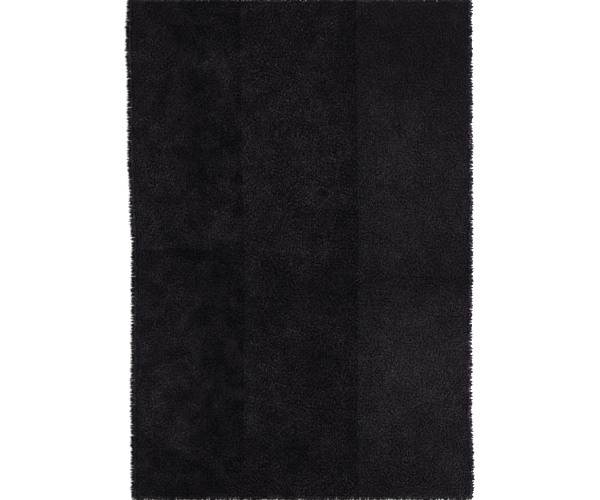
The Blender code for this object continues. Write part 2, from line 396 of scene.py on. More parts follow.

# %% [markdown]
# Hands and feet brush single patches their own way. Each is a soft oval with a middle, two radii
# and the stops by which it is lighter, or darker where they are below zero. The stops tilt its
# tufts and paint its yarn's colour lighter or darker: painted light and shade.

# %% Brushed patches
PATCH_COLUMNS = ("x", "y", "radius_x", "radius_y", "stops")
PATCHES = [
    dict(zip(PATCH_COLUMNS, row))
    for row in (
        (-0.10, 0.78, 0.34, 0.20, 0.24),
        (-0.06, 0.60, 0.10, 0.12, 0.16),
        (0.43, 0.82, 0.20, 0.16, -0.46),
        (0.58, 0.58, 0.08, 0.12, -0.22),
        (-0.45, 0.83, 0.05, 0.07, -0.38),
        (-0.32, 0.72, 0.06, 0.05, 0.32),
        (-0.40, 0.62, 0.05, 0.05, -0.32),
        (-0.54, 0.60, 0.05, 0.05, -0.40),
        (-0.27, 0.47, 0.04, 0.11, -0.36),
        (-0.39, 0.32, 0.05, 0.07, -0.34),
        (-0.14, 0.31, 0.05, 0.09, -0.26),
        (0.09, 0.40, 0.11, 0.22, 0.24),
        (0.05, 0.30, 0.05, 0.09, 0.28),
        (0.15, 0.47, 0.05, 0.06, -0.36),
        (-0.50, 0.21, 0.06, 0.09, -0.38),
        (-0.32, 0.08, 0.08, 0.09, 0.34),
        (0.10, 0.05, 0.08, 0.05, -0.30),
        (0.19, 0.13, 0.04, 0.06, -0.28),
        (-0.05, -0.13, 0.06, 0.05, -0.30),
        (-0.21, -0.07, 0.05, 0.07, 0.38),
        (0.45, -0.14, 0.22, 0.04, -0.18),
        (0.39, -0.06, 0.12, 0.04, -0.28),
        (0.17, -0.15, 0.05, 0.07, -0.28),
        (-0.56, -0.48, 0.11, 0.30, 0.08),
        (-0.60, -0.24, 0.05, 0.10, 0.20),
        (-0.32, -0.25, 0.05, 0.06, -0.42),
        (-0.31, -0.37, 0.09, 0.22, -0.36),
        (-0.35, -0.65, 0.06, 0.22, -0.26),
        (-0.42, -0.69, 0.05, 0.06, -0.20),
        (-0.58, -0.82, 0.08, 0.08, -0.24),
        (0.06, -0.47, 0.10, 0.19, -0.36),
        (0.44, -0.41, 0.22, 0.26, 0.42),
        (-0.02, -0.77, 0.05, 0.06, -0.40),
        (-0.08, -0.84, 0.12, 0.10, -0.32),
        (0.18, -0.87, 0.08, 0.10, 0.34),
        (0.32, -0.90, 0.06, 0.08, -0.36),
        (0.58, -0.82, 0.10, 0.14, 0.18),
    )
]
print(len(PATCHES), "brushed patches")

# %% [markdown]
# The shade of a place is the sum of the tables and of the patches that reach it. It jumps at each
# fold, with painted light on the flank that faces the key lamp and painted shade on the other, and
# soft mottling at four sizes does the rest.

# %% The shade of each place
# How far the painted light and the painted shade reach from each fold crest.
PAINTED_LIGHT_REACH, PAINTED_SHADE_REACH = 0.012, 0.045
MOTTLE = (  # size, stops, the column that says how strong it is
    (0.095, 0.18, PATCHY),
    (0.047, 0.34, PATCHY),
    (0.024, 0.34, PATCHY),
    (0.013, 0.34, GRAIN),
)
MOTTLE_SEED = 31


def brushed_painted_shade(x, y):
    """The shade at each place in stops: the tufts lean by it, and it paints light, shade and tone."""
    stops = across_the_rug(x, STOPS) + np.interp(y, *SHADE_ALONG.T)
    for patch in PATCHES:
        far = np.hypot((x - patch["x"]) / patch["radius_x"], (y - patch["y"]) / patch["radius_y"])
        stops += patch["stops"] * np.exp(-(far**2))
    # Painted light on the fold flank that faces the key lamp, painted shade on the flank away from it.
    for fold in FOLDS:
        distance, side = beside(fold, x, y)
        painted_flank_light = fold["painted_flank_light"] * np.exp(-distance / PAINTED_LIGHT_REACH)
        painted_flank_shade = fold["painted_flank_shade"] * np.exp(-distance / PAINTED_SHADE_REACH)
        stops += np.where(side > 0, painted_flank_light, -painted_flank_shade)
    for number, (size, depth, column) in enumerate(MOTTLE):
        stops += depth * across_the_rug(x, column) * soft_noise(x, y, size, MOTTLE_SEED + number)
    return stops


grid_x, grid_y = np.meshgrid(np.linspace(-0.64, 0.64, 41), np.linspace(-0.95, 0.95, 61))
shades = brushed_painted_shade(grid_x.ravel(), grid_y.ravel())
print("the brushed shades run from", round(shades.min(), 2), "to", round(shades.max(), 2), "stops")

# %% [markdown]
# One helper makes every mesh here. It takes arrays of points and of faces, and stores named values
# on the points, such as how far along its tuft each one is, which the material reads. Filling a
# mesh from arrays takes a fraction of a second where adding faces one by one takes minutes.


# %% A mesh from arrays
def make_piece(name, points, faces, material, values=None, maps=None):
    """An object from points, face arrays, values by point, and maps by point or by face corner."""
    mesh = bpy.data.meshes.new(name)
    sizes = np.concatenate([np.full(len(part), part.shape[1]) for part in faces])
    corners = np.concatenate([part.ravel() for part in faces]).astype(np.int32)
    starts = np.concatenate([[0], np.cumsum(sizes)[:-1]]).astype(np.int32)
    mesh.vertices.add(len(points))
    mesh.vertices.foreach_set("co", points.astype(np.float32).ravel())
    mesh.loops.add(len(corners))
    mesh.loops.foreach_set("vertex_index", corners)
    mesh.polygons.add(len(sizes))
    mesh.polygons.foreach_set("loop_start", starts)
    mesh.polygons.foreach_set("use_smooth", np.ones(len(sizes), bool))
    for key, value in (values or {}).items():
        layer = mesh.attributes.new(key, "FLOAT", "POINT")
        layer.data.foreach_set("value", value.astype(np.float32))
    for key, places in (maps or {}).items():
        by_corner = places[corners] if len(places) == len(points) else places
        layer = mesh.uv_layers.new(name=key)
        layer.uv.foreach_set("vector", by_corner.astype(np.float32).ravel())
    mesh.update(calc_edges=True)
    mesh.materials.append(material)
    piece = bpy.data.objects.new(name, mesh)
    bpy.context.scene.collection.objects.link(piece)
    print(name, "has", int((sizes - 2).sum()), "triangles")
    return piece


# %% [markdown]
# Colours are given as sRGB hex, as a colour picker shows them, and turned to the linear values
# that shaders work in. One function adds any node, with its settings, values and links.


# %% Colours and nodes
def linear(hex_colour):
    """An sRGB hex colour as linear red, green, blue and alpha."""
    parts = [int(hex_colour[i : i + 2], 16) / 255 for i in (1, 3, 5)]
    parts = [p / 12.92 if p <= 0.04045 else ((p + 0.055) / 1.055) ** 2.4 for p in parts]
    return (*parts, 1.0)


def add_node(material, kind, values=None, links=None, **settings):
    """Adds a node: settings are its properties, values fill its sockets, links feed them."""
    tree = material.node_tree
    node = tree.nodes.new(kind)
    for key, value in settings.items():
        setattr(node, key, value)
    for socket, value in (values or {}).items():
        node.inputs[socket].default_value = value
    for socket, source in (links or {}).items():
        tree.links.new(source, node.inputs[socket])
    return node


def new_material(name):
    """A material with no nodes yet."""
    material = bpy.data.materials.new(name)
    material.use_nodes = True
    material.node_tree.nodes.clear()
    return material


print("a dark grey in linear light", np.round(linear("#302b32")[:3], 4))

# %% [markdown]
# The pile's yarn is a bundle of fibres. They are about 0.03 mm thick, far too fine to show, so the
# streaks along a tuft are drawn as ten to its width. They are noise squeezed to streaks, because a
# wave would repeat.

# %% Streaks along the yarn
STREAKS_ACROSS_TUFT = 10
STREAKS_ALONG_TUFT = 1.5
STREAK_DETAIL = 2.0


def yarn_streaks(material):
    """Noise on the map of the tuft, which the mapping before it squeezes to size."""
    place = add_node(material, "ShaderNodeUVMap", uv_map="tuft")
    squeeze = add_node(
        material,
        "ShaderNodeMapping",
        {"Scale": (STREAKS_ACROSS_TUFT, STREAKS_ALONG_TUFT, 1.0)},
        {"Vector": place.outputs["UV"]},
    )
    return add_node(
        material,
        "ShaderNodeTexNoise",
        {"Scale": 1.0, "Detail": STREAK_DETAIL},
        {"Vector": squeeze.outputs["Vector"]},
    )


print("a tuft shows", STREAKS_ACROSS_TUFT, "streaks across its width")

# %% [markdown]
# The yarn is spun-dyed polyester: dull, nearly black, with a trace of violet. Polyester mirrors
# with an IOR of about 1.57, but a pile surface hardly mirrors at all: its fibre ends point at the
# eye and each one catches light on a spot too small to see. So the specular level is set far
# below the usual 0.5, the roughness is high, and a little sheen stands for light that grazes the
# fibre ends. What is left to the eye is how deep the light gets, and that is painted into the
# colour: pale tips, and painted shade that darkens the yarn down to black roots. The shade stops
# scale the colour too, as painted light and shade.

# %% Black polyester pile
YARN_ROOT_PAINTED_SHADE, ROOT_UP_TO = "#040304", 0.15
YARN_BODY_PAINTED_SHADE, BODY_AT = "#151317", 0.6
YARN_TIP, TIP_AT = "#302b32", 1.0
POLYESTER_IOR = 1.57
YARN_SPECULAR = 0.015
YARN_SHEEN = 0.004
YARN_ROUGHNESS = (0.62, 0.86)
STREAK_RANGE = (0.3, 0.7)
STREAK_DEPTH = 0.0006
STREAK_STRENGTH = 0.5
BRIGHTER_PER_STOP = 2.0


def pile_yarn():
    """The yarn: painted shade in its colour by depth and by the stops, its streaks as low ridges and
    duller lines.
    """
    material = new_material("black_polyester_pile")
    along = add_node(material, "ShaderNodeAttribute", attribute_name="along")
    shade = add_node(material, "ShaderNodeAttribute", attribute_name="shade")
    # Painted shade: the colour darkens from the tip down to the root.
    depth = add_node(material, "ShaderNodeValToRGB", links={"Fac": along.outputs["Fac"]})
    ramp = depth.color_ramp
    ramp.elements[0].position, ramp.elements[0].color = ROOT_UP_TO, linear(YARN_ROOT_PAINTED_SHADE)
    ramp.elements[1].position, ramp.elements[1].color = TIP_AT, linear(YARN_TIP)
    ramp.elements.new(BODY_AT).color = linear(YARN_BODY_PAINTED_SHADE)
    # Painted light and shade: the colour is scaled by two to the power of the shade stops.
    gain = add_node(
        material,
        "ShaderNodeMath",
        {0: BRIGHTER_PER_STOP},
        {1: shade.outputs["Fac"]},
        operation="POWER",
    )
    colour = add_node(
        material,
        "ShaderNodeVectorMath",
        links={0: depth.outputs["Color"], "Scale": gain.outputs["Value"]},
        operation="SCALE",
    )
    streaks = yarn_streaks(material)
    bump = add_node(
        material,
        "ShaderNodeBump",
        {"Strength": STREAK_STRENGTH, "Distance": STREAK_DEPTH},
        {"Height": streaks.outputs["Fac"]},
    )
    limits = ("From Min", "From Max", "To Min", "To Max")
    roughness = add_node(
        material,
        "ShaderNodeMapRange",
        dict(zip(limits, (*STREAK_RANGE, *YARN_ROUGHNESS))),
        {"Value": streaks.outputs["Fac"]},
    )
    shader = add_node(
        material,
        "ShaderNodeBsdfPrincipled",
        {"IOR": POLYESTER_IOR, "Specular IOR Level": YARN_SPECULAR, "Sheen Weight": YARN_SHEEN},
        {
            "Base Color": colour.outputs["Vector"],
            "Roughness": roughness.outputs["Result"],
            "Normal": bump.outputs["Normal"],
        },
    )
    add_node(material, "ShaderNodeOutputMaterial", links={"Surface": shader.outputs["BSDF"]})
    return material


YARN = pile_yarn()
print(YARN.name, "has", len(YARN.node_tree.nodes), "nodes")

# %% [markdown]
# A tuft is a lock of yarn about 5 mm thick. Each is a three-sided stem with a bend in it that
# tapers to a point: ten triangles. Three sides are enough, because smooth shading rounds them and
# a single tuft is not much wider than a pixel. A particle system could scatter them, but then
# they would not be plain meshes that lean, gather and fall as they are told.

# %% The shape of a tuft
SIDES = 3
POINTS_PER_TUFT = 2 * SIDES + 1
TUFT_RADIUS = (0.0026, 0.0025)
THICKNESS_RANGE = (0.80, 1.15)
FLOOR_GAP = 0.0004


def tuft_points(root, bend, tip, radius, draw):
    """The points of every tuft: a triangle at its root, a triangle at its bend, and its tip."""
    heading = bend - root
    heading /= np.linalg.norm(heading, axis=1, keepdims=True)
    side_a = np.cross(heading, [0.0, 1.0, 0.0])
    side_a /= np.linalg.norm(side_a, axis=1, keepdims=True)
    side_b = np.cross(heading, side_a)
    angle = draw.uniform(0, 2 * math.pi, (len(root), 1)) + np.arange(SIDES) * 2 * math.pi / SIDES
    around = np.cos(angle)[:, :, None] * side_a[:, None] + np.sin(angle)[:, :, None] * side_b[:, None]
    thick = draw.uniform(*THICKNESS_RANGE, (len(root), 1, 1))
    rings = [at[:, None] + size * thick * around for at, size in zip((root, bend), radius)]
    points = np.concatenate([*rings, tip[:, None]], axis=1)
    points[:, :, 2] = np.maximum(points[:, :, 2], FLOOR_GAP)
    return points.reshape(-1, 3)


def tuft_faces(count):
    """The faces of every tuft: walls from root to bend, walls from bend to tip, and a base."""
    first = (np.arange(count) * POINTS_PER_TUFT)[:, None, None]
    lower = np.arange(SIDES)
    after = (lower + 1) % SIDES
    walls = np.stack([lower, after, after + SIDES, lower + SIDES], axis=1)
    ends = np.stack([lower + SIDES, after + SIDES, np.full(SIDES, 2 * SIDES)], axis=1)
    base = lower[None, ::-1]
    return [(first + part).reshape(-1, part.shape[1]) for part in (walls, ends, base)]


print("a tuft is", 1000 * 2 * TUFT_RADIUS[0], "mm thick")

# %% [markdown]
# The streaks need a map that runs along each tuft, and baking needs one on which no two tufts lie
# on top of each other. Both come from one grid that has a cell for each tuft.

# %% The maps of the tufts
BEND_ALONG = 0.58
CELL_CORNERS, CELL_TIP = (0.1, 0.9, 0.5), 0.5
CELL_FOOT, CELL_HEIGHT = 0.08, 0.84


def tuft_maps(count, along):
    """The map for baking has a cell for each tuft, and the map named tuft runs along its yarn."""
    across = np.tile([*CELL_CORNERS, *CELL_CORNERS, CELL_TIP], count)
    local = np.column_stack([across, CELL_FOOT + CELL_HEIGHT * along])
    columns = math.ceil(math.sqrt(count))
    number = np.repeat(np.arange(count), POINTS_PER_TUFT)
    cell = np.column_stack([number % columns, number // columns])
    return {"OFBake": (cell + local) / columns, "tuft": cell + local}


def tufts(name, root, bend, tip, shade, draw, radius=TUFT_RADIUS, root_along=0.0):
    """One joined mesh of tufts, each given by its root, its bend, its tip and its shade."""
    count = len(root)
    points = lie(tuft_points(root, bend, tip, radius, draw))
    along = np.tile([*[0.0] * SIDES, *[BEND_ALONG] * SIDES, 1.0], count)
    values = {
        "along": root_along + (1 - root_along) * along,
        "shade": np.repeat(shade, POINTS_PER_TUFT),
    }
    return make_piece(name, points, tuft_faces(count), YARN, values, tuft_maps(count, along))


print("the bend of a tuft is", round(100 * BEND_ALONG), "% of the way along it")

# %% [markdown]
# The tufts stand in staggered rows, each a little out of its place. They are 6 mm apart. Real yarn
# is finer, but these 79,000 tufts are as many as the pieces can hold and stay quick to work with.

# %% Where the tufts stand
TUFT_PITCH = 0.0061
ROOT_STRAY_SHARE = 0.28
FIELD_INSET = 0.0088


def tuft_roots(draw):
    """Roots in staggered rows over the whole cloth, each a little out of place."""
    rows = np.arange(-LENGTH / 2, LENGTH / 2, TUFT_PITCH * math.sqrt(3) / 2)
    columns = np.arange(-WIDTH / 2, WIDTH / 2, TUFT_PITCH)
    x, y = np.meshgrid(columns, rows)
    x = x + (np.arange(len(rows)) % 2)[:, None] * TUFT_PITCH / 2
    stray = draw.uniform(-ROOT_STRAY_SHARE, ROOT_STRAY_SHARE, (2, x.size)) * TUFT_PITCH
    x, y = x.ravel() + stray[0], y.ravel() + stray[1]
    inside = inset_of(x, y) > FIELD_INSET
    return x[inside], y[inside]


print("the tufts stand", round(1000 * TUFT_PITCH, 1), "mm apart")

# %% [markdown]
# Where each tuft's tip goes makes the rug's look. It leans the way its patch is brushed, is pulled
# towards the nearest ripple crest, so that tufts gather into winding ridges, and strays a little
# on its own. Near the rim it leans outwards, where no neighbour holds it up.

# %% How the tufts lean
LAMP_SIDE = np.array([0.86, 0.51])
BRUSH_LEAN = np.array([-0.0012, -0.0016])
LEAN_PER_STOP = 0.0030
RIPPLE_PULL = 0.0024
TUFT_STRAY = 0.0013
OUTWARD_LEAN = 0.0015
OUTWARD_DEPTH = 0.022


def pile_lean(x, y, stops, pull, draw):
    """How far each tip lies from its root: brushed, pulled to a crest, strayed, and outwards."""
    lean = BRUSH_LEAN - LEAN_PER_STOP * stops[:, None] * LAMP_SIDE + RIPPLE_PULL * pull
    lean += draw.normal(0, TUFT_STRAY, (len(x), 2))
    near_rim = np.clip(1 - inset_of(x, y) / OUTWARD_DEPTH, 0, 1)
    return lean + OUTWARD_LEAN * near_rim[:, None] * outwards_at(x, y)


print("a tip leans", 1000 * LEAN_PER_STOP, "mm further from the lamp for each stop")

# %% [markdown]
# Now the pile can grow. It is looser in some places than in others, and least loose where the rug
# was pressed flat. Loose pile gathers into deeper ridges, and its tufts differ more in shade. The
# pile is split into six fields that meet at the folds, so that no piece gets too heavy.

# %% The fields of pile between the folds
PILE_TOP = 0.0165
TUFT_ROOT_Z = 0.0040
RIPPLE_LENGTH = 0.0108
RIPPLE_HEIGHT = 0.0012
RIPPLE_SHADE = 0.16
HEADING_TURN = 1.3 * math.pi
HEADING_SIZE = 0.15
GATHER, GATHER_UNEVEN, GATHER_SIZE = 0.85, 0.35, 0.11
LOOSE_UNEVEN, LOOSE_SIZE, LOOSE_SEED = 0.45, 0.045, 63
PILE_SEED, HEADING_SEED, RIPPLE_SEED, GATHER_SEED = 20, 55, 5, 77
TUFT_UNEVEN = 0.0011
TUFT_SHADE = 0.64
BEND_HEIGHT_SHARE = 0.62
BEND_LEAN_SHARE = 0.35
MEET_LEFT, MEET_MIDDLE, MEET_RIGHT = 0.001, -0.010, -0.104
PAST_EDGE = 1.0

FIELDS = {
    # name: left, right, bottom, top edge on the straight rug
    "pile_lower_left": (-PAST_EDGE, LEFT_FOLD, -PAST_EDGE, MEET_LEFT),
    "pile_lower_middle": (LEFT_FOLD, RIGHT_FOLD, -PAST_EDGE, MEET_MIDDLE),
    "pile_lower_right": (RIGHT_FOLD, PAST_EDGE, -PAST_EDGE, MEET_RIGHT),
    "pile_upper_left": (-PAST_EDGE, LEFT_FOLD, MEET_LEFT, PAST_EDGE),
    "pile_upper_middle": (LEFT_FOLD, RIGHT_FOLD, MEET_MIDDLE, PAST_EDGE),
    "pile_upper_right": (RIGHT_FOLD, PAST_EDGE, MEET_RIGHT, PAST_EDGE),
}


def grow_pile():
    """All tufts of the fields, their shapes and shades worked out at once, then one piece a field."""
    draw = np.random.default_rng(PILE_SEED)
    x, y = tuft_roots(draw)
    count = len(x)
    stops = brushed_painted_shade(x, y)
    loose = across_the_rug(x, GRAIN) * (1 + LOOSE_UNEVEN * soft_noise(x, y, LOOSE_SIZE, LOOSE_SEED))
    heading = HEADING_TURN * soft_noise(x, y, HEADING_SIZE, HEADING_SEED)
    crest, up = ripples(x, y, RIPPLE_LENGTH, heading, RIPPLE_SEED)
    gather = loose * (GATHER + GATHER_UNEVEN * soft_noise(x, y, GATHER_SIZE, GATHER_SEED))
    lean = pile_lean(x, y, stops, gather[:, None] * up, draw)
    top = PILE_TOP + fold_height(x, y) + swell_height(x, y)
    top += RIPPLE_HEIGHT * gather * crest + draw.uniform(-TUFT_UNEVEN, TUFT_UNEVEN, count)
    root = np.column_stack([x, y, np.full(count, TUFT_ROOT_Z)])
    tip = np.column_stack([x + lean[:, 0], y + lean[:, 1], top])
    shares = (BEND_LEAN_SHARE, BEND_LEAN_SHARE, BEND_HEIGHT_SHARE)
    bend = root + shares * (tip - root)
    # Ripple crests are painted lighter and the hollows between them darker: painted shade, on top of a
    # random tone for each tuft.
    shade = stops + RIPPLE_SHADE * gather * crest + loose * draw.normal(0, TUFT_SHADE, count)
    pieces = []
    for name, (left, right, bottom, upper) in FIELDS.items():
        here = (x >= left) & (x < right) & (y >= bottom) & (y < upper)
        pieces.append(tufts(name, root[here], bend[here], tip[here], shade[here], draw))
    return pieces


fields = grow_pile()
print("the field holds", sum(len(piece.data.vertices) for piece in fields) // POINTS_PER_TUFT, "tufts")

# %% [markdown]
# Round the rim the tufts have no neighbours to hold them up. They fall outwards over the hem, some
# as far as the floor, and gather into locks. Six rows, from nearly upright to nearly flat, round
# the pile off over the cloth's edge. Each tuft is pulled towards the middle of the nearest lock,
# but only so far, or wide gaps would open between the locks.

# %% Rows of tufts round the rim
RIM_PITCH, RIM_PITCH_STRAY = 0.0054, 0.3
# The stops of each row paint its yarn darker the flatter it lies: painted shade round the rim.
RIM_COLUMNS = ("inset", "height", "rise", "length", "stops")
RIM_ROWS = [
    dict(zip(RIM_COLUMNS, row))
    for row in (
        (0.0108, 0.0040, 78, 0.0160, -0.34),
        (0.0106, 0.0040, 63, 0.0176, -0.58),
        (0.0102, 0.0038, 48, 0.0194, -0.65),
        (0.0096, 0.0034, 34, 0.0206, -0.75),
        (0.0090, 0.0028, 20, 0.0213, -0.85),
        (0.0084, 0.0022, 9, 0.0213, -0.90),
    )
]
RIM_ROOT_STRAY = 0.0016
RIM_BEND_SHARE = 0.62
RIM_SHADE = 0.75
RISE_SPREAD, RISE_LIMITS = 14, (4, 88)
STEEPER_BELOW_BEND, STEEPEST, FLATTER_ABOVE_BEND = 0.3, 1.5, 0.75
REACH_RANGE = (0.93, 1.07)
TIP_STRAY = 0.0009
LOCK_GATHER = 0.55
GATHERED_BELOW_BEND, GATHERED_ABOVE_BEND = 0.35, 0.65
LOCK_POINT = 0.45
LOCK_PULL_LIMIT = 0.0050
END_REACH = 0.87


def step_out(out, rise):
    """Steps of length 1 that go outwards and rise at these angles."""
    up = np.array([0.0, 0.0, 1.0])
    return np.cos(rise)[:, None] * out + np.sin(rise)[:, None] * up


def rim_row(row, lock_at, lock_reach, draw):
    """Root, bend, tip and shade of one row of tufts round the rim."""
    total = rim_length()
    count = round(total / RIM_PITCH)
    stray = draw.uniform(-RIM_PITCH_STRAY, RIM_PITCH_STRAY, count)
    s = (np.arange(count) + stray) * total / count
    aside = (lock_at[None] - s[:, None] + total / 2) % total - total / 2
    nearest = np.abs(aside).argmin(axis=1)
    aside = np.clip(aside[np.arange(count), nearest], -LOCK_PULL_LIMIT, LOCK_PULL_LIMIT)
    point, out, bulge = rim_at(s)
    out = np.column_stack([out, np.zeros(count)])
    ahead = np.column_stack([-out[:, 1], out[:, 0], np.zeros(count)])

    reach = row["length"] * draw.uniform(*REACH_RANGE, count) + lock_reach[nearest]
    reach -= LOCK_POINT * np.abs(aside)
    reach *= 1 - (1 - END_REACH) * np.abs(out[:, 1])
    inset = row["inset"] - bulge + draw.normal(0, RIM_ROOT_STRAY, count)
    root = np.column_stack([point, np.full(count, row["height"])]) - inset[:, None] * out
    rise = np.radians(np.clip(draw.normal(row["rise"], RISE_SPREAD, count), *RISE_LIMITS))
    first, second = np.minimum(rise + STEEPER_BELOW_BEND, STEEPEST), rise - FLATTER_ABOVE_BEND
    gathered = LOCK_GATHER * (1 - row["rise"] / 90) * aside[:, None] * ahead
    lower, upper = (RIM_BEND_SHARE * reach)[:, None], ((1 - RIM_BEND_SHARE) * reach)[:, None]
    bend = root + lower * step_out(out, first) + GATHERED_BELOW_BEND * gathered
    tip = bend + upper * step_out(out, second) + GATHERED_ABOVE_BEND * gathered
    tip[:, :2] += draw.normal(0, TIP_STRAY, (count, 2))
    # Each row's stops are painted shade; the spread drawn for each tuft is a random tone.
    shade = brushed_painted_shade(root[:, 0], root[:, 1]) + row["stops"] + draw.normal(0, RIM_SHADE, count)
    return root, bend, tip, shade


print(len(RIM_ROWS), "rows of", round(rim_length() / RIM_PITCH), "tufts go round the rim")

# %% [markdown]
# The locks are pointed and about 1 cm wide, and make the ragged outline. They stand unevenly
# spaced and reach unevenly far. All six rows gather into the same locks.

# %% Locks round the rim
RIM_RADIUS = (0.0025, 0.0026)
# Rim tufts start a little higher on the painted depth shade, as their roots lie open to the light.
RIM_ROOT_ALONG = 0.10
RIM_SEED = 41
LOCK_WIDTH = 0.0115
LOCK_PLACE_RANGE = (0.2, 0.8)
LOCK_REACH_SPREAD = 0.0009


def rim_locks():
    """The tufts of all rows as one piece, gathered into locks whose places are drawn first."""
    draw = np.random.default_rng(RIM_SEED)
    locks = round(rim_length() / LOCK_WIDTH)
    lock_at = (np.arange(locks) + draw.uniform(*LOCK_PLACE_RANGE, locks)) * rim_length() / locks
    lock_reach = draw.normal(0, LOCK_REACH_SPREAD, locks)
    rows = [rim_row(row, lock_at, lock_reach, draw) for row in RIM_ROWS]
    joined = [np.concatenate(part) for part in zip(*rows)]
    return tufts("pile_rim", *joined, draw, RIM_RADIUS, RIM_ROOT_ALONG)


rim = rim_locks()

# %% [markdown]
# The two layers under the tips are closed sheets over a grid. One helper makes both: the upper and
# the lower face and the narrow wall between them, with a map for baking that has room for each.

# %% A closed sheet over a grid
SIDE_ON_MAP = (0.45, 0.98)
UPPER_ON_MAP, LOWER_ON_MAP = (0.01, 0.01), (0.54, 0.01)
WALL_ON_MAP = (0.52, 0.52, 0.48, 0.48)


def slab_map(x, y, cells, wall_length):
    """The upper side on the left of the map, the lower side on the right, the wall between them."""
    share = np.column_stack([(x - x.min()) / np.ptp(x), (y - y.min()) / np.ptp(y)])
    upper = share[cells.ravel()] * SIDE_ON_MAP + UPPER_ON_MAP
    lower = share[cells[:, ::-1].ravel()] * SIDE_ON_MAP + LOWER_ON_MAP
    start = np.arange(wall_length) / wall_length
    after = start + 1 / wall_length
    up_the_map = np.stack([start, after, after, start], axis=1)
    wall = np.column_stack([np.tile(WALL_ON_MAP, wall_length), up_the_map.ravel()])
    return np.concatenate([upper, lower, wall])


def slab(name, xs, ys, top_at, bottom_at, material, values_at=None):
    """A closed sheet over a grid, from the heights of its two faces."""
    x, y = (part.ravel() for part in np.meshgrid(xs, ys))
    upper, lower = np.column_stack([x, y, top_at(x, y)]), np.column_stack([x, y, bottom_at(x, y)])
    number = np.arange(x.size).reshape(len(ys), len(xs))
    around = (number[:-1, :-1], number[:-1, 1:], number[1:, 1:], number[1:, :-1])
    cells = np.stack(around, axis=-1).reshape(-1, 4)
    loop = np.concatenate([number[0, :-1], number[:-1, -1], number[-1, :0:-1], number[:0:-1, 0]])
    after = np.roll(loop, -1)
    wall = np.stack([loop + x.size, after + x.size, after, loop], axis=1)
    faces = [cells, cells[:, ::-1] + x.size, wall]
    points = np.concatenate([upper, lower])
    values = values_at(points[:, 0], points[:, 1]) if values_at else {}
    flat = points[:, :2] / TUFT_PITCH
    maps = {"OFBake": slab_map(x, y, cells, len(loop)), "tuft": flat}
    return make_piece(name, lie(points), faces, material, values, maps)


def spaced(size, inset, pitch):
    """Values from edge to edge of the straight rug, this far inside it and about a pitch apart."""
    reach = size / 2 - inset
    return np.linspace(-reach, reach, round(2 * reach / pitch) + 1)


print("a 20 mm grid has", len(spaced(WIDTH, inset=0.0, pitch=0.02)), "lines across the rug")

# %% [markdown]
# Low in the pile the tufts touch and no single one can be told apart. That part is one uneven layer
# between the ground cloth and the tips, dark with painted shade, as it takes the yarn's colour a
# fifth of the way up a tuft. It also keeps the cloth from showing through.

# %% The dense foot of the pile
FOOT_PITCH = 0.0125
FOOT_TOP = 0.0092
FOOT_INSET = 0.0090
FOOT_BOTTOM = 0.0024
FOOT_EDGE_THICKNESS = 0.0012
FOOT_ROUNDING = 0.005
FOOT_SHOULDERS = (0.3, 1.0)
LUMP_SIZE, LUMP_DEPTH, LUMP_SEED = 0.013, 0.0009, 91
FOOT_FOLD_SHARE = 0.8
# A fifth of the way up a tuft, where the painted depth shade is near black.
FOOT_ALONG = 0.2


def foot_top(x, y):
    """The lumpy upper face, which follows the folds and swells and rounds down to the rim."""
    full = FOOT_TOP + LUMP_DEPTH * soft_noise(x, y, LUMP_SIZE, LUMP_SEED)
    full += FOOT_FOLD_SHARE * fold_height(x, y)
    full += swell_height(x, y)
    edge = np.clip((inset_of(x, y) - FOOT_INSET) / FOOT_ROUNDING, 0, 1)
    return FOOT_BOTTOM + FOOT_EDGE_THICKNESS + (full - FOOT_BOTTOM) * np.sqrt(edge)


def foot_bottom(x, y):
    """The level lower face, just above the ground cloth where no fold lifts it."""
    return np.full_like(x, FOOT_BOTTOM)


def foot_values(x, y):
    """The foot gets the painted shade of the pile above it and, as the lowest part of a tuft, its dark
    depth shade.
    """
    return {"along": np.full(len(x), FOOT_ALONG), "shade": brushed_painted_shade(x, y)}


def with_shoulders(values):
    """The grid's values, with lines close to both ends, which the foot's rounded edge needs."""
    steps = FOOT_ROUNDING * np.array(FOOT_SHOULDERS)
    return np.sort(np.concatenate([values, values[0] + steps, values[-1] - steps]))


foot_x = with_shoulders(spaced(WIDTH, FOOT_INSET, FOOT_PITCH))
foot_y = with_shoulders(spaced(LENGTH, FOOT_INSET, FOOT_PITCH))
foot = slab("pile_foot", foot_x, foot_y, foot_top, foot_bottom, YARN, foot_values)

# %% [markdown]
# The ground cloth is knitted polyester, black like the pile. It shows only from below and at the
# hem. Knit is a grid of loops, so two crossed waves make it; the loops are about 1.5 mm wide on
# the real cloth and are drawn 3 mm wide, or they would not show. It has a usual specular level
# for cloth, because nothing stands in front of it. The wave node multiplies its scale by 20.

# %% Knitted polyester
LOOP_WIDTH = 0.0030
LOOP_DEPTH = 0.0008
LOOP_STRENGTH = 0.6
LOOP_WOBBLE, LOOP_DETAIL = 0.8, 1.0
WAVE_NODE_FACTOR = 20
GROUND_DARK, GROUND_LIGHT = "#131215", "#2b292e"
GROUND_SPECULAR = 0.3
GROUND_ROUGHNESS = 0.85


